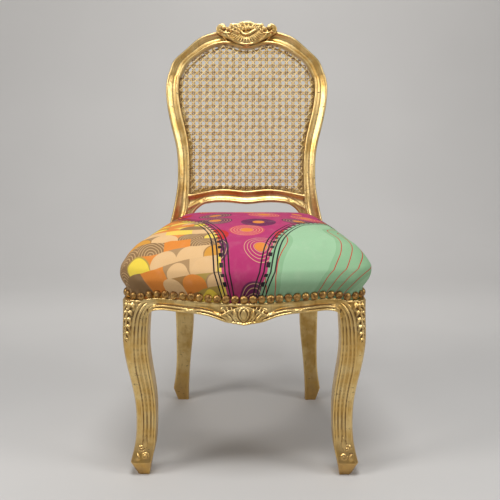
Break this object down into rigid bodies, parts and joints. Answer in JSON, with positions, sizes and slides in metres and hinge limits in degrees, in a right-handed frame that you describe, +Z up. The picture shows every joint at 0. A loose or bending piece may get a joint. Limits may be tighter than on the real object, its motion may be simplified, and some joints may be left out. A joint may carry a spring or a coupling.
{
  "type": "upholstered side chair",
  "caption": "Carved and gilded rococo style side chair with cabriole legs, a shaped back filled with woven cane, and a domed printed seat edged with dome nails.",
  "frame": {"origin": "on the floor, at the middle of the chair's footprint box", "axes": "+Z up; the chair faces -Y; +X is to the right of a viewer who stands in front of it"},
  "size_m": [0.4968, 0.5815, 0.9323],
  "materials": {
    "gilded_beech": "gold leaf over red-brown bole, rubbed",
    "bare_beech": "bare, unfinished",
    "screw_steel": "plain",
    "tack_steel": "blued",
    "gilded_cane": "pale gold, satin",
    "jute_webbing": "coarse weave",
    "hessian": "coarse weave",
    "foam": "soft",
    "wadding": "soft",
    "printed_cotton": "printed cotton, matt",
    "nail_brass": "antique"
  },
  "bodies": {
    "root": {"back_frame_pegs": "bare_beech", "back_rail": "gilded_beech", "cane_binder": "gilded_cane", "cane_panel": "gilded_cane", "corner_block_front_left": "bare_beech", "corner_block_front_right": "bare_beech", "corner_block_rear_left": "bare_beech", "corner_block_rear_right": "bare_beech", "corner_block_screws": "screw_steel", "crest_rail": "gilded_beech", "cross_rail": "gilded_beech", "front_leg_left": "gilded_beech", "front_leg_right": "gilded_beech", "front_nails": "nail_brass", "front_rail": "gilded_beech", "left_nails": "nail_brass", "platform_cloth": "hessian", "rear_nails": "nail_brass", "rear_post_left": "gilded_beech", "rear_post_right": "gilded_beech", "right_nails": "nail_brass", "seat_cover": "printed_cotton", "seat_foam": "foam", "seat_frame_pegs": "bare_beech", "seat_wadding": "wadding", "side_rail_left": "gilded_beech", "side_rail_right": "gilded_beech", "webbing_crosswise": "jute_webbing", "webbing_lengthwise": "jute_webbing", "webbing_tacks": "tack_steel"}
  },
  "joints": []
}
